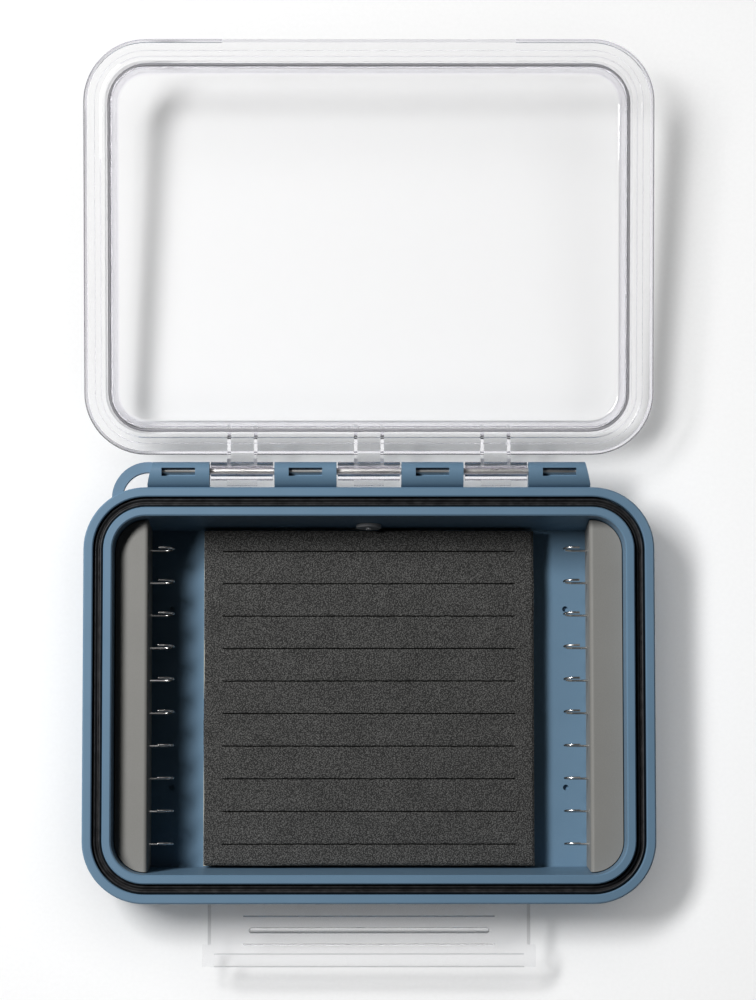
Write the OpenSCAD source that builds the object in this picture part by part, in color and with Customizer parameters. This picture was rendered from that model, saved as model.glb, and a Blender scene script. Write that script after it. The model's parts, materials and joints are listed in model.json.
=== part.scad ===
// Gasketed fly box, lying open: tray base with a foam pad and two rails of wire hooks,
// a clear hinged lid and a clear front latch.
// Millimetres, +Z up. Origin: centre of the base's underside. Hinge side at +Y, latch side at -Y.
// The lid and the latch are drawn closed and then swung open about their pins.

/* [Box] */
// Length of the rim, along the hinge
rim_length = 165; // [150:1:190]
// Width of the rim, from the latch side to the hinge side
rim_width = 120; // [106:1:140]
// Outer radius of the rim's corners
corner_radius = 18; // [16:0.5:22]
// Height of the base, from its underside to the rim face
base_height = 30; // [27:0.5:40]
// Thickness of the base's side walls
wall_t = 2.2; // [1.6:0.1:3]
// Thickness of the base's floor
floor_t = 2.5; // [2:0.1:4]
// How far the base's walls lean in, from the rim down to the floor
wall_draft = 2.2; // [0.5:0.1:3]
// Radius of the edge under the base
foot_radius = 3; // [1:0.25:4]

/* [Rim and seal] */
// Width of the rim's lip outside the seal groove
outer_lip = 2.7; // [2:0.1:4]
// Width of the seal groove
groove_width = 3; // [2.4:0.1:4]
// Width of the rim's lip inside the seal groove
inner_lip = 2.6; // [2:0.1:4]
// Height of the rim flange
rim_depth = 6; // [5:0.25:8]
// Depth of the seal groove
groove_depth = 3.6; // [3:0.1:4.2]
// Height of the seal's ridges below the rim face
seal_drop = 1.5; // [1.4:0.1:1.8]
// Depth of the channel between the seal's two ridges
seal_channel = 0.6; // [0.3:0.1:1]
// Break on the rim's edges and on the catch bar's edges
edge_break = 0.4; // [0.2:0.1:0.6]
// Break on the edges of the seal groove
groove_break = 0.3; // [0.2:0.05:0.5]

/* [Lid] */
// Height of the closed lid, above its sealing face
lid_depth = 14.5; // [12:0.5:28]
// Thickness of the lid's flange
flange_t = 3; // [2:0.1:4]
// Break on the flange's outer edges
flange_break = 1; // [0.6:0.05:1.2]
// Thickness of the lid's panel
panel_t = 2.2; // [1.6:0.1:3]
// How far the lid's walls lean in, from the flange up to the panel
lid_draft = 0.8; // [0.4:0.1:2]
// Outer radius between the lid's wall and panel
lid_edge_radius = 1.5; // [1:0.1:3]
// Width of the tongue that presses on the seal
tongue_width = 2; // [1.4:0.1:2.2]
// Height of the tongue
tongue_height = 1.3; // [0.8:0.1:1.4]
// How far each side of the tongue leans in
tongue_lean = 0.3; // [0.1:0.05:0.5]
// Length of the land that the latch hooks over
land_length = 85; // [60:1:100]
// Height of that land above the flange
land_height = 1.2; // [0.6:0.1:1.6]
// Gap between the closed lid and the rim face
seam_gap = 0.3; // [0.3:0.05:0.5]

/* [Lid hinge] */
// Distance of the hinge axis behind the rim
hinge_offset = 4.7; // [4.4:0.1:7]
// Distance of the hinge axis below the rim face
hinge_drop = 1; // [0.5:0.1:1.5]
// Radius of the hinge barrel
barrel_radius = 2.7; // [2.2:0.1:3]
// Radius of the hinge pin and of the latch pin
pin_radius = 1; // [0.8:0.05:1.2]
// Distance of the barrel's ends from the ends of the rim
hinge_margin = 18.2; // [17:0.2:30]
// Steepness of each base knuckle's rounded front where it meets the rim, in degrees
front_lean = 71; // [60:1:76]
// Gap between neighbouring knuckles
knuckle_gap = 0.4; // [0.3:0.05:0.8]
// Length of the slot over the pin in each base knuckle
slot_length = 9.7; // [5:0.1:12]
// Width of the slot over the pin
slot_width = 2.4; // [2.2:0.1:2.8]
// Distance of the slot's middle in front of the pin
slot_shift = 0.4; // [0:0.1:0.6]
// Width of the arm from each lid knuckle
arm_width = 8.7; // [6:0.1:14]
// Thickness of the two ribs on each arm
arm_rib = 1; // [0.8:0.1:1.6]
// Height of those ribs at the lid's wall, above the sealing face
rib_height = 8; // [5:0.5:10]
// Thickness of the tab on each lid knuckle that stops the lid against the rim
stop_t = 2; // [1.4:0.1:2.4]
// Gap between that tab and the rim when the lid is open
stop_gap = 0.5; // [0.4:0.05:0.8]
// Angle of the open lid, from closed
lid_open = 172; // [150:1:178]

/* [Lanyard loop] */
// Width of the loop's band
loop_band = 3; // [2.5:0.1:3.5]
// Thickness of the loop
loop_t = 3.5; // [2.5:0.1:4]

/* [Latch] */
// Width of the latch plate
latch_width = 93.5; // [80:0.5:105]
// Thickness of the latch plate
latch_t = 2; // [1.5:0.1:2.5]
// How far the plate's sides slant in towards its outer face
plate_slant = 0.9; // [0.4:0.1:1.2]
// Distance of the latch pin inside the rim's front edge
latch_inset = 2; // [1.5:0.1:2.4]
// Distance of the latch pin below the rim face
latch_drop = 11.5; // [10:0.25:14]
// Height of the catch bar, along the closed plate
catch_height = 4; // [3:0.1:5]
// Length of the catch bar
catch_length = 89.5; // [70:0.5:92]
// How far the catch bar reaches in over the land
catch_reach = 3; // [2:0.1:3.4]
// Gap between the latch and the closed lid or the rim
latch_gap = 0.4; // [0.3:0.05:0.6]
// Length of the grip rib
grip_length = 70; // [50:1:80]
// Width of the grip rib
grip_width = 1.9; // [1.4:0.1:2.4]
// Distance of the grip rib from the latch's free edge
grip_place = 10.5; // [9:0.25:12]
// Length of the shallow pocket round the grip rib
pocket_length = 73; // [60:1:80]
// Height of that pocket, along the closed plate
pocket_height = 8.5; // [6:0.25:9]
// Depth of that pocket
pocket_depth = 0.4; // [0.2:0.05:0.6]
// Width of each base lug on the latch pin
lug_width = 6; // [4:0.5:9]
// Width of the corner tabs
tab_width = 3.2; // [2:0.1:4]
// Height of the corner tabs
tab_height = 6.4; // [5:0.1:8]

/* [Foam pad] */
// Length of the pad, between the rails
foam_length = 97.3; // [80:0.5:104]
// Thickness of the pad
foam_t = 6.8; // [5:0.1:8]
// Thickness of the adhesive sheet under the pad
glue_t = 0.3; // [0.2:0.05:0.5]
// Width of each slit
slit_width = 0.5; // [0.4:0.1:1]
// Depth of each slit
slit_depth = 4.8; // [3:0.1:4.9]
// Distance from a slit's end to the pad's side
slit_margin = 5.8; // [4:0.1:9]
// Distance from the first and last rows to the floor's edge
row_margin = 6.6; // [5.5:0.1:9]

/* [Hook rails] */
// Thickness of each rail at the floor
rail_t = 7.7; // [6:0.1:9]
// Height of each rail
rail_height = 21.5; // [18:0.25:23]
// Radius of the rail's inner top edge
rail_round = 1.2; // [0.6:0.1:2]
// Gap between a rail and the wall
fit_gap = 0.3; // [0.2:0.05:0.5]
// Radius of the hook wire
wire_radius = 0.35; // [0.3:0.01:0.45]
// Height of the hook's shank above the floor
shank_height = 9; // [8.4:0.1:10]
// How far a hook stands out from its rail
hook_reach = 7.2; // [6:0.1:8]
// Radius of the hook's bend
hook_bend = 2.6; // [2:0.1:3]
// Length of the return leg behind the bend
hook_leg = 1.5; // [0.8:0.1:2]
// Length of the shank inside the rail
shank_hold = 5; // [3:0.1:5.5]
// Lean of the hooks in the six rows nearest the hinge, in degrees
lean_rear = 7; // [0:0.5:12]
// Lean of the hooks in the other rows, in degrees
lean_front = 2; // [0:0.5:12]

/* [Floor and vent] */
// Radius of the small holes in the floor
dimple_radius = 0.85; // [0.5:0.05:1.2]
// Depth of those holes
dimple_depth = 1.2; // [0.8:0.1:1.6]
// Distance of those holes from the middle, along the box
dimple_x = 58; // [54:0.5:60]
// Distance of those holes from the middle, across the box
dimple_y = 26.3; // [15:0.1:30]
// Radius of the vent plug's head
vent_radius = 3.6; // [2.8:0.1:4.5]
// Thickness of the vent plug's head
vent_head = 1; // [0.6:0.1:1.4]
// Radius of the vent plug's stem
vent_stem = 1.8; // [1.4:0.1:2.2]
// Gap between the vent plug's head and the pad below it
vent_gap = 0.4; // [0.3:0.1:2]

/* [Hidden] */
$fn = 64;
row_count = 10;
rear_rows = 6;
knuckle_count = 7;
// Radial clearance of a pin or a wire in its bore
bore_gap = 0.05;
// Overlap that fuses two bodies of one piece
weld = 0.5;
// Overshoot of a cut past the face that it opens
cut = 1;

half_length = rim_length / 2;
half_width = rim_width / 2;
corner_x = half_length - corner_radius;
corner_y = half_width - corner_radius;
// Distances inward from the rim's outer line
groove_end = outer_lip + groove_width;
mouth_inset = groove_end + inner_lip;
floor_inset = mouth_inset + wall_draft;
wall_out_top = mouth_inset - wall_t;
wall_out_foot = floor_inset - wall_t;
lid_wall_out = mouth_inset - panel_t;
lid_inside = mouth_inset + lid_draft;
lid_inner_radius = lid_edge_radius / 2;
// Slope of the inner wall, inset gained per unit of depth
wall_slope = wall_draft / (base_height - floor_t);
rim_under = base_height - rim_depth;
floor_half_width = half_width - floor_inset;

hinge_y = half_width + hinge_offset;
hinge_z = base_height - hinge_drop;
hinge_length = rim_length - 2 * hinge_margin;
knuckle_pitch = hinge_length / knuckle_count;
knuckle_width = knuckle_pitch - knuckle_gap;
bore_radius = pin_radius + bore_gap;
// How far the barrel's outer ends slant back
barrel_taper = 2;
// Distance of the bore's blind end from the barrel's left end
bore_stop = barrel_taper + 3 * weld;
pin_length = hinge_length - 2 * (bore_stop + weld);

latch_y = -half_width + latch_inset;
latch_z = base_height - latch_drop;
// Radius of the barrel on the latch pin, which ends level with the rim's front edge
latch_barrel = latch_inset;
lug_pitch = (latch_width - lug_width) / 2 - tab_width;
latch_pin_length = 2 * lug_pitch + lug_width;
// Latch sizes measured from its pin, with the latch closed
plate_face = -latch_inset - latch_gap;
catch_low = latch_drop + seam_gap + flange_t + land_height + seam_gap;
latch_top = catch_low + catch_height;

row_pitch = 2 * (floor_half_width - row_margin) / (row_count - 1);
rail_face = half_length - floor_inset - fit_gap - rail_t;
shank_z = floor_t + shank_height;
pad_top = floor_t + glue_t + foam_t;

SIDES = ["left", "right"];
ROWS = [for (i = [1:row_count]) i];
FIXED_NODES = ["base_shell", "seal_ring", "lid_shell", "lid_hinge_pin", "latch", "latch_pin",
               "foam_pad", "foam_adhesive", "left_hook_rail", "right_hook_rail", "vent_plug"];

function hook_name(side, i) = str(side, "_hook_", i < 10 ? "0" : "", i);
function row_y(i) = (row_count + 1 - 2 * i) / 2 * row_pitch;
function sign_of(side) = side == "left" ? -1 : 1;
// Points on an arc, from angle a to angle b
function arc(x, y, r, a, b, n = 6) =
    [for (i = [0:n]) [x + r * cos(a + (b - a) * i / n), y + r * sin(a + (b - a) * i / n)]];
// Inset of the base's inner wall at a height
function wall_inset(z) = mouth_inset + (base_height - z) * wall_slope;

// A section drawn as [inset from the rim's outer line, height], run round the rim
module run_round() {
    for (k = [0:3]) {
        along_x = k % 2 == 1;
        reach = along_x ? corner_y : corner_x;
        run = 2 * (along_x ? corner_x : corner_y);
        rotate([0, 0, 90 * k]) translate([reach, run / 2, 0]) rotate([90, 0, 0])
            linear_extrude(run) from_centre_line() children();
        translate([k % 3 == 0 ? corner_x : -corner_x, k < 2 ? corner_y : -corner_y, 0])
            rotate([0, 0, 90 * k]) rotate_extrude(angle = 90) from_centre_line() children();
    }
}

module from_centre_line() {
    translate([corner_radius, 0]) mirror([1, 0]) children();
}

// The rim's outline, moved in
module outline(inset) {
    for (x = [-corner_x, corner_x]) {
        for (y = [-corner_y, corner_y]) {
            translate([x, y]) circle(r = corner_radius - inset);
        }
    }
    square([2 * (half_length - inset), 2 * corner_y], center = true);
    square([2 * corner_x, 2 * (half_width - inset)], center = true);
}

// A round bar along X, centred on x
module bar_x(x, length, r, r_end = undef) {
    translate([x - length / 2, 0, 0]) rotate([0, 90, 0])
        cylinder(r1 = r, r2 = r_end == undef ? r : r_end, h = length);
}

// A [y, z] section carried along X, centred on x
module slab_x(x, length) {
    translate([x - length / 2, 0, 0]) rotate([90, 0, 90]) linear_extrude(length) children();
}

module at_hinge() {
    translate([0, hinge_y, hinge_z]) children();
}

module at_latch() {
    translate([0, latch_y, latch_z]) children();
}

// Middle of knuckle i, counted from -X
function knuckle_x(i) = (i - (knuckle_count - 1) / 2) * knuckle_pitch;

// A solid filled from side to side, whose sides follow [inset, height] points from the bottom up
module filled(side) {
    low = side[0][1];
    high = side[len(side) - 1][1];
    for (x = [-corner_x, corner_x]) {
        for (y = [-corner_y, corner_y]) {
            translate([x, y, 0]) rotate_extrude()
                polygon(concat([[0, low]], [for (p = side) [corner_radius - p[0], p[1]]], [[0, high]]));
        }
    }
    slab_x(0, 2 * corner_x) filled_section(half_width, side);
    rotate([0, 0, 90]) slab_x(0, 2 * corner_y) filled_section(half_length, side);
}

module filled_section(half, side) {
    last = len(side) - 1;
    polygon(concat([for (p = side) [half - p[0], p[1]]],
                   [for (i = [last:-1:0]) [side[i][0] - half, side[i][1]]]));
}

// Outer side of the base: rounded foot, leaning wall and rim flange
module base_body() {
    filled(concat(arc(wall_out_foot + foot_radius, foot_radius, foot_radius, 270, 180),
        [[wall_out_top, rim_under], [0, rim_under],
         [0, base_height - edge_break], [edge_break, base_height]]));
}

// Space inside the base, open at the mouth
module base_cavity() {
    filled([[floor_inset, floor_t], [mouth_inset, base_height - edge_break],
            [mouth_inset - edge_break, base_height], [mouth_inset - edge_break, base_height + cut]]);
}

module seal_groove() {
    low = base_height - groove_depth;
    shoulder = base_height - groove_break;
    left = outer_lip - groove_break;
    right = groove_end + groove_break;
    run_round() polygon([[outer_lip, low], [outer_lip, shoulder],
                         [left, base_height], [left, base_height + cut],
                         [right, base_height + cut], [right, base_height],
                         [groove_end, shoulder], [groove_end, low]]);
}

// Base knuckle. Its rounded front leaves the top of the barrel as a tangent and runs down to the rim.
module base_knuckle(i) {
    x = knuckle_x(i);
    outer = i == 0 || i == knuckle_count - 1;
    root_y = -hinge_offset - outer_lip + weld;
    root_low = rim_under - hinge_z;
    front_radius = hinge_offset / sin(front_lean);
    front = arc(0, barrel_radius - front_radius, front_radius, 90, 90 + front_lean, 10);
    root_top = front[10][1];
    difference() {
        at_hinge() {
            bar_x(x, knuckle_width, barrel_radius);
            slab_x(x, knuckle_width) polygon(concat(
                [[root_y, root_low], [-hinge_offset, root_low], [0, -barrel_radius]],
                front, [[root_y, root_top]]));
        }
        at_hinge() {
            translate([x - slot_length / 2, -slot_shift - slot_width / 2, 0])
                cube([slot_length, slot_width, barrel_radius + cut]);
            if (outer) {
                barrel_end(sign(x));
            }
        }
    }
}

// The wedge cut off an outer knuckle, which leaves its end slanted from the rim back
module barrel_end(side) {
    end_x = hinge_length / 2;
    reach = barrel_radius + cut;
    deep = rim_depth + cut;
    translate([0, 0, -deep]) linear_extrude(deep + reach)
        polygon([[side * end_x, -hinge_offset], [side * (end_x + reach), -hinge_offset],
                 [side * (end_x + reach), reach], [side * (end_x - barrel_taper), reach]]);
}

// Quarter ring from the barrel's end to the rim's corner
module lanyard_loop() {
    outer_radius = barrel_radius + hinge_offset + outer_lip + weld;
    reach = rim_width / 2;
    centre = [weld - hinge_length / 2, hinge_y + barrel_radius - outer_radius, hinge_z - loop_t];
    translate(centre) difference() {
        cylinder(r = outer_radius, h = loop_t);
        translate([0, 0, -cut]) cylinder(r = outer_radius - loop_band, h = loop_t + 2 * cut);
        translate([weld + barrel_taper, -reach, -cut]) cube([reach, 2 * reach, loop_t + 2 * cut]);
        translate([-reach, -2 * reach, -cut]) cube([2 * reach, 2 * reach, loop_t + 2 * cut]);
    }
}

// Lugs under the rim that carry the latch pin
module latch_lug(x) {
    wall_y = -half_width + wall_out_foot + weld;
    at_latch() difference() {
        union() {
            bar_x(x, lug_width, latch_barrel);
            translate([x - lug_width / 2, 0, -latch_barrel])
                cube([lug_width, wall_y - latch_y, 2 * latch_barrel]);
        }
        bar_x(x, lug_width + cut, bore_radius);
    }
}

// The plug's frame: origin on the inner face of the back wall, +Z along the plug into the wall
module at_vent() {
    z = pad_top + vent_gap + vent_radius;
    translate([0, half_width - wall_inset(z), z]) rotate([-90 - atan(wall_slope), 0, 0]) children();
}

module base_shell() {
    color([0.42, 0.5, 0.58]) difference() {
        union() {
            base_body();
            for (i = [0:2:knuckle_count - 1]) {
                base_knuckle(i);
            }
            for (x = [-lug_pitch, 0, lug_pitch]) {
                latch_lug(x);
            }
            lanyard_loop();
        }
        base_cavity();
        seal_groove();
        at_hinge() bar_x((bore_stop + cut) / 2, hinge_length - bore_stop + cut, bore_radius);
        for (x = [-dimple_x, dimple_x]) {
            for (y = [-dimple_y, dimple_y]) {
                translate([x, y, floor_t - dimple_depth]) cylinder(r = dimple_radius, h = dimple_depth + cut);
            }
        }
        at_vent() translate([0, 0, -cut]) cylinder(r = vent_stem + bore_gap, h = wall_t + 2 * cut);
    }
}

module seal_section() {
    low = base_height - groove_depth;
    top = base_height - seal_drop;
    left = outer_lip + bore_gap;
    right = groove_end - bore_gap;
    ridge = (right - left) / 4;
    polygon(concat([[right, low + bore_gap], [left, low + bore_gap]],
        arc(left + ridge, top - ridge, ridge, 180, 20),
        [[(left + right) / 2, top - seal_channel]],
        arc(right - ridge, top - ridge, ridge, 160, 0)));
}

module seal_ring() {
    color([0.07, 0.07, 0.08]) run_round() seal_section();
}

// Lid section: [inset, height above the sealing face]
module lid_section() {
    wall_top = lid_wall_out + lid_draft;
    under = lid_depth - panel_t;
    tongue = (outer_lip + groove_end) / 2;
    root = tongue_width / 2;
    tip = root - tongue_lean;
    panel_start = lid_inside + lid_inner_radius + weld;
    polygon(concat(
        [[flange_break, 0], [0, flange_break], [0, flange_t - flange_break], [flange_break, flange_t],
         [lid_wall_out, flange_t]],
        arc(wall_top + lid_edge_radius, lid_depth - lid_edge_radius, lid_edge_radius, 180, 90),
        [[panel_start, lid_depth], [panel_start, under]],
        arc(lid_inside + lid_inner_radius, under - lid_inner_radius, lid_inner_radius, 90, 180),
        [[mouth_inset, edge_break], [mouth_inset - edge_break, 0],
         [tongue + root, 0], [tongue + tip, -tongue_height],
         [tongue - tip, -tongue_height], [tongue - root, 0]]));
}

module lid_panel() {
    translate([0, 0, lid_depth - panel_t]) linear_extrude(panel_t) outline(lid_inside + lid_inner_radius);
}

// Land on the lid's front flange, from near its edge to the lid's wall
module latch_land() {
    translate([-land_length / 2, -half_width + edge_break, flange_t - weld])
        cube([land_length, lid_wall_out + weld, land_height + weld]);
}

// Lid knuckle with its arm, two ribs and stop tab, in the hinge's frame with the lid closed
module lid_knuckle(i) {
    x = knuckle_x(i);
    seal_face = hinge_drop + seam_gap;
    flange_top = seal_face + flange_t;
    wall_back = -hinge_offset - lid_wall_out - weld;
    difference() {
        union() {
            bar_x(x, knuckle_width, barrel_radius);
            slab_x(x, arm_width) polygon([[-hinge_offset - weld, seal_face + edge_break],
                [-hinge_offset - weld, flange_top - edge_break], [-barrel_radius / 2, barrel_radius],
                [0, barrel_radius], [0, seal_face + edge_break - barrel_radius],
                [-barrel_radius, seal_face + edge_break]]);
            rotate([lid_open, 0, 0]) translate([x - arm_width / 2, stop_gap - hinge_offset, -stop_t / 2])
                cube([arm_width, hinge_offset - stop_gap, stop_t]);
            for (s = [-1, 1]) {
                slab_x(x + s * (arm_width - arm_rib) / 2, arm_rib) polygon([[wall_back, flange_top - weld],
                    [wall_back, seal_face + rib_height], [-hinge_offset, flange_top + weld],
                    [0, barrel_radius], [-barrel_radius, 0], [-hinge_offset, flange_top - weld]]);
            }
        }
        bar_x(x, knuckle_width + cut, bore_radius);
    }
}

module lid_shell() {
    color([0.82, 0.84, 0.88, 0.35]) at_hinge() rotate([-lid_open, 0, 0]) {
        translate([0, -hinge_y, hinge_drop + seam_gap]) {
            run_round() lid_section();
            lid_panel();
            latch_land();
        }
        for (i = [1:2:knuckle_count - 1]) {
            lid_knuckle(i);
        }
    }
}

module lid_hinge_pin() {
    color([0.72, 0.71, 0.69]) at_hinge() bar_x(0, pin_length, pin_radius);
}

// Latch section in the pin's frame with the latch closed: plate, catch bar and corner tabs
module latch_plate() {
    outer_face = plate_face - latch_t;
    outer_half = latch_width / 2 - plate_slant;
    catch_face = plate_face + latch_gap + catch_reach;
    difference() {
        translate([0, 0, -latch_barrel]) linear_extrude(latch_top + latch_barrel)
            polygon([[-latch_width / 2, plate_face], [-outer_half, outer_face],
                     [outer_half, outer_face], [latch_width / 2, plate_face]]);
        translate([0, outer_face, latch_top - grip_place]) grip_pocket();
    }
    slab_x(0, catch_length) polygon([[plate_face - weld, catch_low], [catch_face - edge_break, catch_low],
        [catch_face, catch_low + edge_break], [catch_face, latch_top - edge_break],
        [catch_face - edge_break, latch_top], [plate_face - weld, latch_top]]);
    for (s = [-1, 1]) {
        translate([s * latch_width / 2 - tab_width / 2, outer_face - weld, latch_top - tab_height])
            cube([tab_width, latch_t + weld, tab_height]);
    }
    translate([0, outer_face, latch_top - grip_place]) grip_rib();
}

// Half-round grip rib with round ends, on the outer face of the plate
module grip_rib() {
    r = grip_width / 2;
    straight = grip_length - grip_width;
    bar_x(0, straight, r);
    for (s = [-1, 1]) {
        translate([s * straight / 2, 0, 0]) sphere(r = r);
    }
}

// What is cut from the plate round the grip rib, with slanted long sides
module grip_pocket() {
    half = pocket_height / 2;
    slab_x(0, pocket_length) polygon([[-cut, -half - cut], [pocket_depth, pocket_depth - half],
                                      [pocket_depth, half - pocket_depth], [-cut, half + cut]]);
}

module latch_knuckles() {
    width = lug_pitch - lug_width - 2 * knuckle_gap;
    for (s = [-1, 1]) {
        x = s * lug_pitch / 2;
        difference() {
            union() {
                bar_x(x, width, latch_barrel);
                translate([x - width / 2, plate_face - weld, -latch_barrel])
                    cube([width, -plate_face + weld, latch_barrel]);
            }
            bar_x(x, width + cut, bore_radius);
        }
    }
}

module latch() {
    color([0.84, 0.86, 0.9, 0.35]) at_latch() rotate([90, 0, 0]) {
        latch_plate();
        latch_knuckles();
    }
}

module latch_pin() {
    color([0.72, 0.71, 0.69]) at_latch() bar_x(0, latch_pin_length, pin_radius);
}

module foam_adhesive() {
    color([0.85, 0.83, 0.76]) translate([-foam_length / 2, -floor_half_width + fit_gap, floor_t])
        cube([foam_length, 2 * (floor_half_width - fit_gap), glue_t]);
}

module foam_pad() {
    color([0.33, 0.33, 0.34]) difference() {
        translate([-foam_length / 2, -floor_half_width + fit_gap, floor_t + glue_t])
            cube([foam_length, 2 * (floor_half_width - fit_gap), foam_t]);
        for (i = ROWS) {
            translate([-foam_length / 2 + slit_margin, row_y(i) - slit_width / 2, pad_top - slit_depth])
                cube([foam_length - 2 * slit_margin, slit_width, slit_depth + cut]);
        }
    }
}

module hook_rail(side) {
    s = sign_of(side);
    top = floor_t + rail_height;
    color([0.6, 0.58, 0.55]) difference() {
        intersection() {
            filled([[floor_inset + fit_gap, floor_t], [wall_inset(top) + fit_gap, top]]);
            translate([s > 0 ? rail_face : -rail_face - rim_length, -rim_width / 2, 0])
                cube([rim_length, rim_width, base_height]);
        }
        rail_edge(s);
        for (i = ROWS) {
            translate([s * (rail_face + shank_hold / 2 - cut / 2), row_y(i), shank_z])
                bar_x(0, shank_hold + cut + 2 * bore_gap, wire_radius + bore_gap);
        }
    }
}

// What is cut off to round the rail's inner top edge
module rail_edge(s) {
    top = floor_t + rail_height;
    translate([s * rail_face, 0, top]) difference() {
        cube([2 * rail_round, rim_width, 2 * rail_round], center = true);
        translate([s * rail_round, rim_width / 2, -rail_round]) rotate([90, 0, 0])
            cylinder(r = rail_round, h = rim_width);
    }
}

// Wire hook: shank out of the rail, bend upward, short leg back with a round tip
module hook(side, i) {
    s = sign_of(side);
    bend_x = hook_reach - hook_bend - wire_radius;
    color([0.78, 0.78, 0.76]) translate([s * rail_face, row_y(i), shank_z]) mirror([s > 0 ? 1 : 0, 0, 0])
        rotate([i <= rear_rows ? -lean_rear : -lean_front, 0, 0]) {
            bar_x((bend_x - shank_hold) / 2, bend_x + shank_hold, wire_radius);
            translate([bend_x, 0, hook_bend]) rotate([90, 0, 0]) rotate([0, 0, -90])
                rotate_extrude(angle = 180) translate([hook_bend, 0]) circle(r = wire_radius);
            translate([0, 0, 2 * hook_bend]) bar_x(bend_x - hook_leg / 2, hook_leg, wire_radius);
            translate([bend_x - hook_leg, 0, 2 * hook_bend]) sphere(r = wire_radius);
        }
}

module vent_plug() {
    nub_radius = vent_radius / 4;
    color([0.72, 0.73, 0.74]) at_vent() {
        translate([0, 0, -vent_head]) cylinder(r = vent_radius, h = vent_head);
        cylinder(r = vent_stem, h = wall_t);
        translate([0, 0, -1.5 * vent_head]) cylinder(r = nub_radius, h = vent_head);
    }
}

base_shell();
seal_ring();
lid_shell();
lid_hinge_pin();
latch();
latch_pin();
foam_pad();
foam_adhesive();
hook_rail("left");  // left_hook_rail
hook_rail("right");  // right_hook_rail
vent_plug();
for (s = SIDES) {
    for (i = ROWS) {
        hook(s, i);
    }
}
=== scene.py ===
"""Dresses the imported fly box: foam pad, rubber seal, materials, studio and camera.

Metres, in the part's own frame: +X along the hinge, +Y from the latch to the hinge, +Z up.
"""

import json
import math

import bmesh
import bpy
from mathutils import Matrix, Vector, noise


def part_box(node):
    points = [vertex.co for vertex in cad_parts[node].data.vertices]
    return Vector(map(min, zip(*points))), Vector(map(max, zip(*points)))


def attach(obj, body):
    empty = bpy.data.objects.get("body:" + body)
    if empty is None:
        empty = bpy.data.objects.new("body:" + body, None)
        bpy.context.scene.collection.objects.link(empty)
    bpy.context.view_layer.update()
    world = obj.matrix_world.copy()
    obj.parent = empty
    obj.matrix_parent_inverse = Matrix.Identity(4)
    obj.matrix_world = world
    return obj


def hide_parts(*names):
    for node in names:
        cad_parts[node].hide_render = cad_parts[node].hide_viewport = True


MM = 0.001

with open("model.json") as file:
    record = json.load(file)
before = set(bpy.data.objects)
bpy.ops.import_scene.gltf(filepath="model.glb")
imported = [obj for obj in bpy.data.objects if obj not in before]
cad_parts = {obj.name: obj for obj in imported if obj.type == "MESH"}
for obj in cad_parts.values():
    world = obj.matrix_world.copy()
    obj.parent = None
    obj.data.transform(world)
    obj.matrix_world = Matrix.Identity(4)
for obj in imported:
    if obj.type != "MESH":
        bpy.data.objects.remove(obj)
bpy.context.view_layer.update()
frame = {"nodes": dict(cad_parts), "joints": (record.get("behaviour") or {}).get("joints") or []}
nodes = frame["nodes"]
joints = {joint["name"]: joint for joint in frame["joints"]}


# Camera, at the photograph's angle

PHOTO_LONG_SIDE = 1000
FOCAL_PX = 3844.85
SENSOR = 36.0
CLIP_NEAR = 0.05
CLIP_FAR = 50.0
CAMERA_PLACE = Vector((-1.7232, -42.1378, 1137.55)) * MM
CAMERA_TURN = (0.0886, -0.0039, -0.0001)


def make_camera():
    data = bpy.data.cameras.new("photo_camera")
    data.sensor_width = SENSOR
    data.lens = FOCAL_PX * SENSOR / PHOTO_LONG_SIDE
    data.clip_start = CLIP_NEAR
    data.clip_end = CLIP_FAR
    camera = bpy.data.objects.new("photo_camera", data)
    camera.location = CAMERA_PLACE
    camera.rotation_mode = "ZYX"
    camera.rotation_euler = CAMERA_TURN
    bpy.context.scene.collection.objects.link(camera)
    bpy.context.scene.camera = camera


# Material helpers


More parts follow.
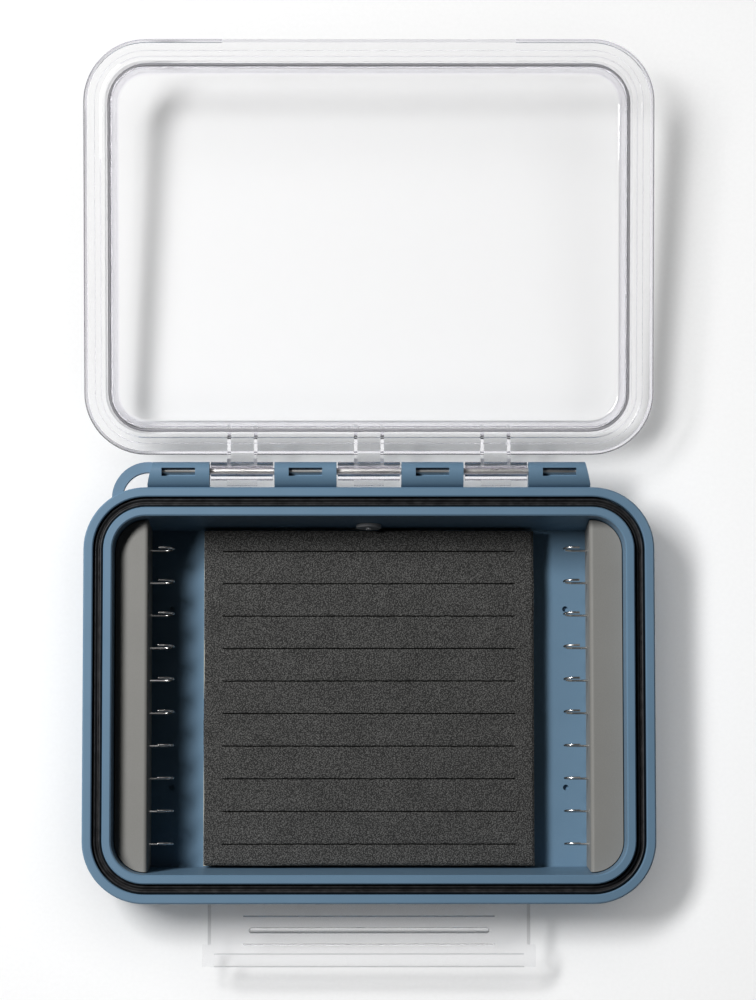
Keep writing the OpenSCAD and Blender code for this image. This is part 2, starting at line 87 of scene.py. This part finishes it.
class Tree:
    """A node material under construction, with short calls for the nodes that recur."""

    def __init__(self, name):
        self.mat = bpy.data.materials.new(name)
        self.mat.use_nodes = True
        self.nodes = self.mat.node_tree.nodes
        self.links = self.mat.node_tree.links
        self.bsdf = self.nodes["Principled BSDF"]
        self.out = self.nodes["Material Output"]
        places = self.nodes.new("ShaderNodeTexCoord").outputs
        self.coords = places["Object"]
        self.normal = places["Normal"]

    def set(self, **values):
        """Sets constants on the main shader's sockets."""
        for name, value in values.items():
            self.bsdf.inputs[name.replace("_", " ")].default_value = value
        return self

    def link(self, source, target):
        self.links.new(source, target)

    def feed(self, source, name):
        """Links a texture to a socket of the main shader."""
        self.link(source, self.bsdf.inputs[name])

    def noise(self, scale, detail=3.0, roughness=0.55, stretch=None):
        node = self.nodes.new("ShaderNodeTexNoise")
        node.inputs["Scale"].default_value = scale
        node.inputs["Detail"].default_value = detail
        node.inputs["Roughness"].default_value = roughness
        source = self.coords
        if stretch:
            mapping = self.nodes.new("ShaderNodeMapping")
            mapping.inputs["Scale"].default_value = stretch
            self.link(self.coords, mapping.inputs["Vector"])
            source = mapping.outputs["Vector"]
        self.link(source, node.inputs["Vector"])
        return node.outputs["Fac"]

    def voronoi(self, scale):
        """Distance to the middle of the nearest cell."""
        node = self.nodes.new("ShaderNodeTexVoronoi")
        node.inputs["Scale"].default_value = scale
        self.link(self.coords, node.inputs["Vector"])
        return node.outputs["Distance"]

    def ramp(self, source, *stops):
        """Maps a texture to greys or colours, from stops of place and value."""
        node = self.nodes.new("ShaderNodeValToRGB")
        elements = node.color_ramp.elements
        while len(elements) < len(stops):
            elements.new(0.5)
        for element, (place, value) in zip(elements, stops):
            colour = value if isinstance(value, tuple) else (value, value, value)
            element.position = place
            element.color = (*colour, 1.0)
        self.link(source, node.inputs["Fac"])
        return node.outputs["Color"]

    def math(self, operation, a, b):
        node = self.nodes.new("ShaderNodeMath")
        node.operation = operation
        for socket, value in zip(node.inputs, (a, b)):
            if isinstance(value, float):
                socket.default_value = value
            else:
                self.link(value, socket)
        return node.outputs["Value"]

    def multiply(self, a, b):
        """Product of two colour textures."""
        node = self.nodes.new("ShaderNodeMix")
        node.data_type = "RGBA"
        node.blend_type = "MULTIPLY"
        node.inputs[0].default_value = 1.0
        self.link(a, node.inputs[6])
        self.link(b, node.inputs[7])
        return node.outputs[2]

    def clear(self, colour):
        """See-through shader that lets light straight on, tinted by a texture."""
        node = self.nodes.new("ShaderNodeBsdfTransparent")
        self.link(colour, node.inputs["Color"])
        return node.outputs["BSDF"]

    def blend(self, factor, first, second):
        node = self.nodes.new("ShaderNodeMixShader")
        for source, socket in zip((factor, first, second), node.inputs):
            self.link(source, socket)
        return node.outputs["Shader"]

    def lean(self, axis):
        """0 on faces square to the axis, rising to 1 on faces that run along it."""
        node = self.nodes.new("ShaderNodeVectorMath")
        node.operation = "DOT_PRODUCT"
        node.inputs[1].default_value = axis
        self.link(self.normal, node.inputs[0])
        return self.math("SUBTRACT", 1.0, self.math("ABSOLUTE", node.outputs["Value"], 0.0))

    def bump(self, height, distance, strength):
        node = self.nodes.new("ShaderNodeBump")
        node.inputs["Strength"].default_value = strength
        node.inputs["Distance"].default_value = distance
        self.link(height, node.inputs["Height"])
        self.feed(node.outputs["Normal"], "Normal")


# Materials

BLUE = (0.137, 0.239, 0.345)
RAIL_GREY = (0.255, 0.251, 0.236)
VENT_GREY = (0.42, 0.43, 0.44)
GLUE_CREAM = (0.62, 0.58, 0.47)
STEEL = (0.80, 0.785, 0.76)
RUBBER_BLACK = (0.010, 0.010, 0.011)
RUBBER_DUST = (0.040, 0.040, 0.042)
# Foam greys: the pit colour is painted shade in the hollows, and the tip colour is painted light on the highest
# struts.
FOAM_PIT_SHADE = (0.040, 0.040, 0.039)
FOAM_DARK = (0.104, 0.103, 0.100)
FOAM_GREY = (0.142, 0.141, 0.136)
FOAM_TIP_LIGHT = (0.228, 0.225, 0.213)
CLEAR = (0.997, 0.996, 1.0)
# Painted shade on the lid's bevels and walls: this violet grey stands in for the dark bands that bent light
# draws there. It is partly the plastic's own tint.
LID_TINT_AND_SHADE = (0.85, 0.838, 0.888)
# Painted shade on the latch's bevels: this grey stands in for the dark lines that bent light draws along them.
LATCH_EDGE_SHADE = (0.42, 0.42, 0.44)
PLASTIC_IOR = 1.5
RUBBER_IOR = 1.52
# An upright clear wall passes this share of the lamp light that a steep one does
UPRIGHT_SHARE = 0.6

# The lid lies open short of flat, so its panel slopes from the table
LID_SLOPE = math.radians(180 - joints["lid_hinge"]["range_deg"][1])
LID_AXIS = (0.0, -math.sin(LID_SLOPE), math.cos(LID_SLOPE))
LATCH_AXIS = (0.0, 0.0, 1.0)


def moulded_plastic(name, colour, spread, roughness, grain_scale, grain_depth):
    """Satin moulded plastic: faint cloudy colour, spark-eroded grain and uneven gloss."""
    t = Tree(name)
    darker = tuple(c * (1 - spread) for c in colour)
    lighter = tuple(c * (1 + spread) for c in colour)
    body = t.ramp(t.noise(scale=45.0, detail=4.0), (0.3, darker), (0.7, lighter))
    grain = t.noise(scale=grain_scale, detail=2.0)
    speck = t.ramp(grain, (0.30, 0.94), (0.70, 1.05))
    gloss = t.ramp(t.noise(scale=160.0), (0.3, roughness - 0.05), (0.7, roughness + 0.06))
    t.feed(t.multiply(body, speck), "Base Color")
    t.feed(gloss, "Roughness")
    t.bump(grain, distance=grain_depth, strength=0.6)
    return t.set(IOR=PLASTIC_IOR, Specular_IOR_Level=0.35).mat


def clear_plastic(name, axis, edge_tint_and_shade, steep_tint_and_shade, see_through, shade):
    """Clear polycarbonate, with hardly any tint on faces square to the axis.

    Bevels and walls take edge_tint_and_shade and steep_tint_and_shade as colour: painted shade for the dark
    lines that bent light draws there, and on the lid the plastic's own violet tint too. see_through is two leans
    and a share: between the leans, the part of the view that passes without bending rises from 0 to the share,
    and it carries the same painted shade. shade is the share of lamp light that a wall leaning far from the axis
    passes.
    """
    t = Tree(name)
    smears = t.noise(scale=70.0, detail=5.0, roughness=0.6)
    t.feed(t.ramp(smears, (0.35, 0.012), (0.75, 0.04)), "Roughness")
    lean = t.lean(axis)
    # Painted shade: the colour darkens from clear on flat faces to the bevel and wall tints as the faces lean.
    t.feed(t.ramp(lean, (0.02, CLEAR), (0.3, edge_tint_and_shade), (0.42, edge_tint_and_shade), (0.56, steep_tint_and_shade)), "Base Color")
    t.set(IOR=PLASTIC_IOR, Transmission_Weight=1.0)
    low, high, most = see_through
    # The share seen straight through carries the same painted shade.
    straight = t.clear(t.ramp(lean, (0.3, CLEAR), (0.45, edge_tint_and_shade), (0.56, steep_tint_and_shade)))
    seen = t.blend(t.ramp(lean, (low, 0.0), (high, most)), t.bsdf.outputs["BSDF"], straight)
    passing = t.clear(t.ramp(lean, (0.15, 0.995), (0.35, 0.95), (0.6, shade), (1.0, shade * UPRIGHT_SHARE)))
    path = t.nodes.new("ShaderNodeLightPath").outputs
    lit = t.blend(path["Is Shadow Ray"], seen, passing)
    t.link(t.blend(path["Is Diffuse Ray"], lit, passing), t.out.inputs["Surface"])
    return t.mat


def steel(name, roughness):
    """Drawn steel, with fine lines along X and a slightly uneven shine."""
    t = Tree(name)
    lines = t.noise(scale=900.0, stretch=(0.04, 1.0, 1.0))
    dark = tuple(c * 0.82 for c in STEEL)
    t.feed(t.ramp(lines, (0.3, dark), (0.7, STEEL)), "Base Color")
    t.feed(t.ramp(lines, (0.3, roughness - 0.06), (0.7, roughness + 0.1)), "Roughness")
    t.bump(lines, distance=0.01 * MM, strength=0.4)
    return t.set(Metallic=1.0).mat


def rubber(name):
    """Black moulded rubber with a dusty bloom and a fine skin."""
    t = Tree(name)
    dust = t.noise(scale=420.0, detail=4.0, roughness=0.65)
    t.feed(t.ramp(dust, (0.40, RUBBER_BLACK), (0.78, RUBBER_DUST)), "Base Color")
    t.feed(t.ramp(dust, (0.3, 0.38), (0.8, 0.56)), "Roughness")
    t.bump(t.noise(scale=3200.0, detail=2.0), distance=0.04 * MM, strength=0.5)
    return t.set(IOR=RUBBER_IOR).mat


def open_cell_foam(name):
    """Charcoal foam with open cells between struts in its bump. Its colour paints shade where the bump is lowest
    and light on its highest strut tips, with soft patches.
    """
    t = Tree(name)
    cells = t.voronoi(scale=2600.0)
    struts = t.noise(scale=3000.0, roughness=0.7)
    height = t.math("ADD", t.math("MULTIPLY", cells, -0.9), struts)
    # Painted shade and light: the colour follows the bump's height, darkest in its hollows and palest on its
    # highest points.
    pit_shade_and_tip_light = t.ramp(height, (0.0, FOAM_PIT_SHADE), (0.1, FOAM_DARK), (0.28, FOAM_GREY), (0.6, FOAM_TIP_LIGHT))
    patches = t.ramp(t.noise(scale=110.0), (0.3, 0.88), (0.7, 1.10))
    t.feed(t.multiply(pit_shade_and_tip_light, patches), "Base Color")
    t.bump(height, distance=0.30 * MM, strength=0.85)
    return t.set(Roughness=0.95, Specular_IOR_Level=0.1).mat


def dress(material, *names):
    for name in names:
        slots = nodes[name].data.materials
        slots.clear()
        slots.append(material)


def dress_nodes(hooks):
    dress(moulded_plastic("tray_blue_plastic", BLUE, spread=0.035, roughness=0.46,
                          grain_scale=5200.0, grain_depth=0.02 * MM), "base_shell")
    dress(moulded_plastic("rail_grey_plastic", RAIL_GREY, spread=0.03, roughness=0.55,
                          grain_scale=4200.0, grain_depth=0.03 * MM), "left_hook_rail", "right_hook_rail")
    dress(moulded_plastic("vent_grey_plastic", VENT_GREY, spread=0.04, roughness=0.5,
                          grain_scale=5200.0, grain_depth=0.02 * MM), "vent_plug")
    dress(moulded_plastic("adhesive_film", GLUE_CREAM, spread=0.06, roughness=0.4,
                          grain_scale=2600.0, grain_depth=0.03 * MM), "foam_adhesive")
    dress(clear_plastic("lid_clear_plastic", LID_AXIS, edge_tint_and_shade=LID_TINT_AND_SHADE, steep_tint_and_shade=LID_TINT_AND_SHADE,
                        see_through=(0.30, 0.55, 0.28), shade=0.32), "lid_shell")
    dress(clear_plastic("latch_clear_plastic", LATCH_AXIS, edge_tint_and_shade=LATCH_EDGE_SHADE, steep_tint_and_shade=CLEAR,
                        see_through=(0.23, 0.40, 0.75), shade=0.35), "latch")
    dress(steel("pin_steel", roughness=0.30), "lid_hinge_pin", "latch_pin")
    dress(steel("hook_wire_steel", roughness=0.22), *hooks)


# Pieces made here


def new_object(name, bm, material):
    """Turns a finished bmesh into an object in the scene."""
    mesh = bpy.data.meshes.new(name)
    bm.to_mesh(mesh)
    bm.free()
    obj = bpy.data.objects.new(name, mesh)
    bpy.context.scene.collection.objects.link(obj)
    mesh.materials.append(material)
    return obj


# Foam pad: its slits, placed from the pad's edges, with their rounded edges and the lips pressed in beside them
ROW_COUNT = 10
ROW_MARGIN = 6.3 * MM
SLIT_MARGIN = 5.8 * MM
SLIT_HALF = 0.15 * MM
SLIT_DEPTH = 4.5 * MM
SLIT_ROUND = 0.10 * MM
LIP = 0.55 * MM
LIP_DIP = 0.03 * MM
# Its grid: the lines beside a slit as shares of the half width, those at a slit's ends, and the slack in telling
# which lines belong to a slit
SLIT_LINES = (0.5, 1.15)
BAND_SLACK = 1.2
END_GAP = 0.12 * MM
END_SLACK = 0.02 * MM
GRID_STEP = 0.62 * MM
LINE_CLEARANCE = 0.35
# Its skin: the mean depth under the pad's top, the pits, the slow swells and the worn edge. Rates are per
# millimetre, here and below
SKIN_DROP = 0.16 * MM
PIT_DEPTH = 0.09 * MM
PIT_RATE = 1.9
SWELL = 0.05 * MM
SWELL_RATE = 0.25
EDGE_WIDTH = 0.9 * MM
EDGE_DROP = 0.45 * MM
# Its hand-cut sides: how far slow waves and rags pull them in, how far in that reaches, and how slits wander
WAVE_X = 0.30 * MM
WAVE_Y = 0.20 * MM
WAVE_RATE = 0.05
RAG = 0.07 * MM
RAG_RATE = 1.3
SIDE_REACH = 3 * MM
SLIT_WANDER = 0.10 * MM
WANDER_RATE = 0.5
# Layers of the noise, so that the sides, the rags and the slits don't follow each other
LEFT_LAYER = 3.0
RIGHT_LAYER = 7.0
FRONT_LAYER = 5.0
BACK_LAYER = 11.0
RAG_LAYER = 0.5
WANDER_LAYER = 9.0
# Levels down a side, and the share by which its dents pull it in
SIDE_LEVELS = 7
DENT_X = 0.0006
DENT_Y = 0.0002
DENT_RATE = 1.1


def grid_lines(low, high, extra):
    """Lines from low to high, about a grid step apart, with the extra ones among them."""
    count = round((high - low) / GRID_STEP)
    even = [low + (high - low) * i / count for i in range(count + 1)]
    keep = [v for v in even if all(abs(v - e) > LINE_CLEARANCE * GRID_STEP for e in extra)]
    return sorted({low, high, *keep, *extra})


def foam_height(x, y, low, high, rows, ends):
    """Height of the pad's top: pitted, worn at its edges and slit along the rows."""
    place = Vector((x, y, 0.0)) / MM
    z = high.z - SKIN_DROP
    z += PIT_DEPTH * noise.noise(place * PIT_RATE) + SWELL * noise.noise(place * SWELL_RATE)
    inset = min(x - low.x, high.x - x, y - low.y, high.y - y)
    if inset < EDGE_WIDTH:
        z -= EDGE_DROP * (1 - inset / EDGE_WIDTH) ** 2
    if not ends[0] - END_SLACK < x < ends[1] + END_SLACK:
        return z
    gap = min(abs(y - row) for row in rows)
    if gap < SLIT_HALF:
        return z - SLIT_DEPTH
    if gap < BAND_SLACK * SLIT_HALF:
        return z - SLIT_ROUND
    if gap < BAND_SLACK * LIP:
        return z - LIP_DIP
    return z


def foam_place(x, y, low, high):
    """Pulls a point near a side in by a slowly changing amount, and lets the slits wander."""
    layer_x = RIGHT_LAYER if x > 0 else LEFT_LAYER
    layer_y = BACK_LAYER if y > 0 else FRONT_LAYER
    wave_x = WAVE_X * (1 + noise.noise(Vector((0.0, y / MM * WAVE_RATE, layer_x))))
    wave_y = WAVE_Y * (1 + noise.noise(Vector((x / MM * WAVE_RATE, 0.0, layer_y))))
    rag = RAG * noise.noise(Vector((x / MM * RAG_RATE, y / MM * RAG_RATE, RAG_LAYER)))
    near_x = max(0.0, 1 - min(x - low.x, high.x - x) / SIDE_REACH)
    near_y = max(0.0, 1 - min(y - low.y, high.y - y) / SIDE_REACH)
    pull_x = math.copysign((wave_x + rag) * near_x, x)
    pull_y = math.copysign((wave_y + rag) * near_y, y)
    drift = noise.noise(Vector((x / MM * WANDER_RATE, y / MM * WAVE_RATE, WANDER_LAYER)))
    return x - pull_x, y - pull_y + SLIT_WANDER * drift * (1 - near_y)


def rim_of(grid):
    """The points round a grid's outside, in order."""
    right = [row[-1] for row in grid[1:]]
    left = [row[0] for row in grid[1:-1]]
    return grid[0] + right + grid[-1][-2::-1] + left[::-1]


def add_sides(bm, rim, floor_z):
    """Dented sides from a rim of points down to the floor, and a flat underside."""
    upper = rim
    for level in range(1, SIDE_LEVELS + 1):
        lower = []
        for vert in rim:
            x, y, top_z = vert.co
            z = top_z + (floor_z - top_z) * level / SIDE_LEVELS
            dent = 0.0
            if level < SIDE_LEVELS:
                dent = abs(noise.noise(Vector((x, y, z)) / MM * DENT_RATE))
            lower.append(bm.verts.new((x * (1 - DENT_X * dent), y * (1 - DENT_Y * dent), z)))
        for a in range(len(rim)):
            b = (a + 1) % len(rim)
            bm.faces.new((upper[a], lower[a], lower[b], upper[b]))
        upper = lower
    bm.faces.new(upper[::-1])


def make_foam():
    """The slit pad: a grid whose top is pitted and slit, with hand-cut sides and a flat underside."""
    low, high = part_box("foam_pad")
    pitch = (high.y - low.y - 2 * ROW_MARGIN) / (ROW_COUNT - 1)
    rows = [low.y + ROW_MARGIN + i * pitch for i in range(ROW_COUNT)]
    ends = (low.x + SLIT_MARGIN, high.x - SLIT_MARGIN)
    offsets = [share * SLIT_HALF for share in SLIT_LINES] + [LIP]
    across = [row + side * offset for row in rows for offset in offsets for side in (-1, 1)]
    along = [end + side * END_GAP for end in ends for side in (-1, 1)]
    xs = grid_lines(low.x, high.x, along)
    ys = grid_lines(low.y, high.y, across)
    bm = bmesh.new()
    grid = [[bm.verts.new((*foam_place(x, y, low, high), foam_height(x, y, low, high, rows, ends))) for x in xs]
            for y in ys]
    for near, far in zip(grid, grid[1:]):
        for i in range(len(xs) - 1):
            bm.faces.new((near[i], near[i + 1], far[i + 1], far[i]))
    add_sides(bm, rim_of(grid), low.z)
    bmesh.ops.recalc_face_normals(bm, faces=bm.faces)
    return new_object("slit_foam_pad", bm, open_cell_foam("charcoal_foam"))


# Seal. Its width and the rim's corner radius are the part's; its place comes from the frame
SEAL_WIDTH = 2.9 * MM
RIM_CORNER = 18.0 * MM
SECTION_STEPS = 40
CORNER_STEPS = 24
# Shares of the seal's height: its shoulders, which rise steeply from its sides, and its two ridges
SHOULDER_SHARE = 0.52
SHOULDER_RISE = 9
RIDGE_SHARE = 0.48
RIDGE_FULLNESS = 0.8


def seal_section(low_z, high_z):
    """Points of inset and height across the seal, from its outer side to its inner one."""
    points = [(0.0, low_z)]
    for i in range(SECTION_STEPS + 1):
        u = i / SECTION_STEPS
        ridge = 0.5 - 0.5 * math.cos(4 * math.pi * u)
        shoulder = min(1.0, SHOULDER_RISE * min(u, 1 - u))
        share = SHOULDER_SHARE * shoulder + RIDGE_SHARE * ridge ** RIDGE_FULLNESS
        points.append((u * SEAL_WIDTH, low_z + (high_z - low_z) * share))
    return points + [(SEAL_WIDTH, low_z)]


def make_seal():
    """The rubber seal: two rounded ridges swept round the rim's groove."""
    low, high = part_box("seal_ring")
    rim_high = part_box("base_shell")[1]
    corner = RIM_CORNER - (rim_high.x - high.x)
    section = seal_section(low.z, high.z)
    bm = bmesh.new()
    rings = []
    for quarter, (side_x, side_y) in enumerate(((1, 1), (-1, 1), (-1, -1), (1, -1))):
        centre = Vector((side_x * (high.x - corner), side_y * (high.y - corner)))
        for i in range(CORNER_STEPS + 1):
            angle = math.radians(90 * (quarter + i / CORNER_STEPS))
            out = Vector((math.cos(angle), math.sin(angle)))
            rings.append([bm.verts.new((*(centre + (corner - inset) * out), z)) for inset, z in section])
    for ring, following in zip(rings, rings[1:] + rings[:1]):
        for i in range(len(section)):
            j = (i + 1) % len(section)
            bm.faces.new((ring[i], following[i], following[j], ring[j]))
    bmesh.ops.recalc_face_normals(bm, faces=bm.faces)
    for face in bm.faces:
        face.smooth = True
    return new_object("rubber_seal", bm, rubber("seal_black_rubber"))


# Studio: a white table with lamps of its own, a softbox from the upper left and a faint surround

FLOOR_SIZE = 6.0
PAPER_DARK = 0.88
PAPER_LIGHT = 0.90
# Each lamp's place, width, height and power in watts
SOFTBOX = ((-0.50, 0.294, 0.764), 0.446, 0.15, 9.5)
TABLE_KEY = ((-0.34, 0.186, 0.85), 0.306, 0.145, 6.1)
TABLE_FILL = ((0.05, 0.1, 1.0), 1.2, 1.2, 6.9)
WIRE_GLINT = (SOFTBOX[0], 0.3, 0.15, 8.0)
WORLD_STRENGTH = 0.012
# Brightness of the surround at heights from the horizon up, for each kind of ray that sees it
SURROUND = {
    "Is Glossy Ray": ((0.06, 1.0), (0.16, 0.22), (0.5, 0.05)),
    "Is Transmission Ray": ((0.1, 1.0), (0.4, 0.25), (0.9, 0.08)),
    "Is Camera Ray": ((0.06, 1.0), (0.5, 1.0), (1.0, 1.0)),
}
SURROUND_BLUE = 1.04


def make_table():
    """White matt table, which shows the object's shadow."""
    t = Tree("white_table")
    paper = t.ramp(t.noise(scale=900.0), (0.3, PAPER_DARK), (0.7, PAPER_LIGHT))
    matt = t.nodes.new("ShaderNodeBsdfDiffuse")
    t.link(paper, matt.inputs["Color"])
    t.link(matt.outputs["BSDF"], t.out.inputs["Surface"])
    bm = bmesh.new()
    bmesh.ops.create_grid(bm, x_segments=1, y_segments=1, size=FLOOR_SIZE / 2)
    table = new_object("table", bm, t.mat)
    return table


def make_lamp(name, place, width, height, power):
    """Rectangular lamp that faces the origin."""
    data = bpy.data.lights.new(name, "AREA")
    data.shape = "RECTANGLE"
    data.size = width
    data.size_y = height
    data.energy = power
    lamp = bpy.data.objects.new(name, data)
    lamp.location = place
    lamp.rotation_mode = "QUATERNION"
    lamp.rotation_quaternion = (-Vector(place)).to_track_quat("-Z", "Y")
    bpy.context.scene.collection.objects.link(lamp)
    return lamp


def light_only(lamp, objects, state):
    """Lets a lamp light these objects alone, or everything but them."""
    group = bpy.data.collections.new(lamp.name + "_receivers")
    for obj in objects:
        group.objects.link(obj)
    for entry in group.collection_objects:
        entry.light_linking.link_state = state
    lamp.light_linking.receiver_collection = group
    return group


def make_lamps(table, hooks):
    light_only(make_lamp("softbox", *SOFTBOX), [table], "EXCLUDE")
    light_only(make_lamp("table_key", *TABLE_KEY), [table], "INCLUDE")
    light_only(make_lamp("table_fill", *TABLE_FILL), [table], "INCLUDE")
    # A glint on the hook wires, which the walls' shadows don't hide
    glint = make_lamp("wire_glint", *WIRE_GLINT)
    glint.light_linking.blocker_collection = light_only(glint, [nodes[name] for name in hooks], "INCLUDE")


def make_world():
    """Faint even light. Camera, glossy and glass rays that met no matt face see a white backdrop instead."""
    world = bpy.data.worlds.new("studio")
    world.use_nodes = True
    tree = world.node_tree
    link = tree.links.new
    tree.nodes.clear()
    lighting = tree.nodes.new("ShaderNodeBackground")
    lighting.inputs["Color"].default_value = (1.0, 1.0, 1.0, 1.0)
    lighting.inputs["Strength"].default_value = WORLD_STRENGTH
    coords = tree.nodes.new("ShaderNodeTexCoord")
    split = tree.nodes.new("ShaderNodeSeparateXYZ")
    link(coords.outputs["Generated"], split.inputs["Vector"])
    path = tree.nodes.new("ShaderNodeLightPath")
    unscattered = tree.nodes.new("ShaderNodeMath")
    unscattered.operation = "LESS_THAN"
    unscattered.inputs[1].default_value = 0.5
    link(path.outputs["Diffuse Depth"], unscattered.inputs[0])
    shader = lighting.outputs["Background"]
    for rays, stops in SURROUND.items():
        ramp = tree.nodes.new("ShaderNodeValToRGB")
        elements = ramp.color_ramp.elements
        elements.new(0.5)
        for element, (height, grey) in zip(elements, stops):
            element.position = height
            element.color = (grey, grey, grey * SURROUND_BLUE, 1.0)
        link(split.outputs["Z"], ramp.inputs["Fac"])
        view = tree.nodes.new("ShaderNodeBackground")
        link(ramp.outputs["Color"], view.inputs["Color"])
        sees = tree.nodes.new("ShaderNodeMath")
        sees.operation = "MULTIPLY"
        link(path.outputs[rays], sees.inputs[0])
        link(unscattered.outputs["Value"], sees.inputs[1])
        mixed = tree.nodes.new("ShaderNodeMixShader")
        link(sees.outputs["Value"], mixed.inputs["Fac"])
        link(shader, mixed.inputs[1])
        link(view.outputs["Background"], mixed.inputs[2])
        shader = mixed.outputs["Shader"]
    out = tree.nodes.new("ShaderNodeOutputWorld")
    link(shader, out.inputs["Surface"])
    bpy.context.scene.world = world


make_camera()
hook_names = [name for name in nodes if "_hook_" in name and not name.endswith("rail")]
dress_nodes(hook_names)

foam = make_foam()
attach(foam, "base")
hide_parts("foam_pad")

seal = make_seal()
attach(seal, "base")
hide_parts("seal_ring")

make_lamps(make_table(), hook_names)
make_world()
bpy.context.scene.view_settings.view_transform = "Standard"
